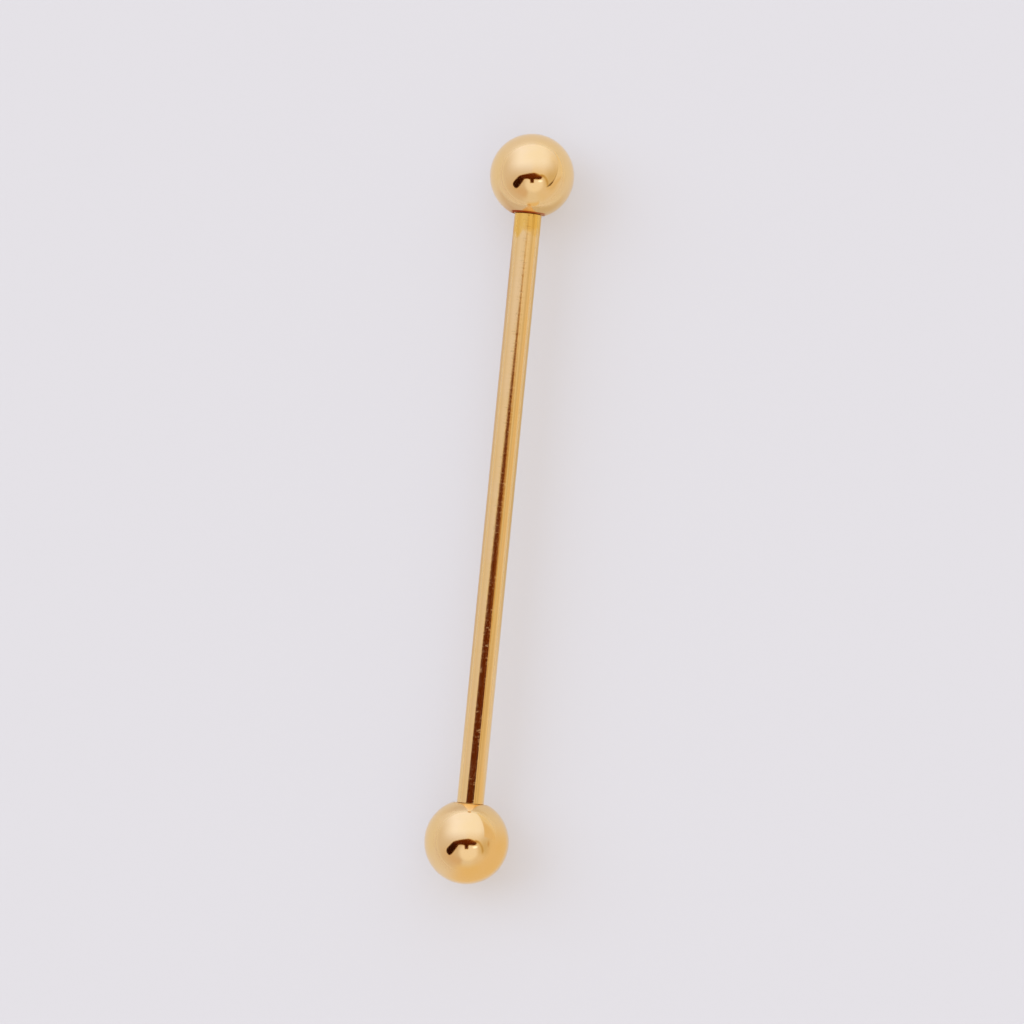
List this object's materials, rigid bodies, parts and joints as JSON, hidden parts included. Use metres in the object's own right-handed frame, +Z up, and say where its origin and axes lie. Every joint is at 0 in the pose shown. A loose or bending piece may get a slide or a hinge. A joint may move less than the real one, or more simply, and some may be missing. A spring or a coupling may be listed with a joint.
{
  "type": "industrial barbell",
  "caption": "Straight gold-coloured steel barbell for body jewellery: a plain round bar with a polished screw-on ball on each end.",
  "frame": {"origin": "on the surface that the barbell lies on, under the middle of the bar", "axes": "+X along the bar towards ball_right, +Z up, away from the surface"},
  "size_m": [0.0446, 0.005, 0.005],
  "materials": {
    "gold_bar": "polished gold-coloured plating on steel",
    "gold_ball": "polished gold-coloured plating on steel"
  },
  "bodies": {
    "bar": {"bar": "gold_bar"},
    "ball_left": {"ball_left": "gold_ball"},
    "ball_right": {"ball_right": "gold_ball"}
  },
  "joints": [
    {"name": "ball_left_off", "type": "slide", "parent": "bar", "child": "ball_left", "axis": [-1, 0, 0], "range_m": [0, 0.008]},
    {"name": "ball_right_off", "type": "slide", "parent": "bar", "child": "ball_right", "axis": [1, 0, 0], "range_m": [0, 0.008]}
  ]
}
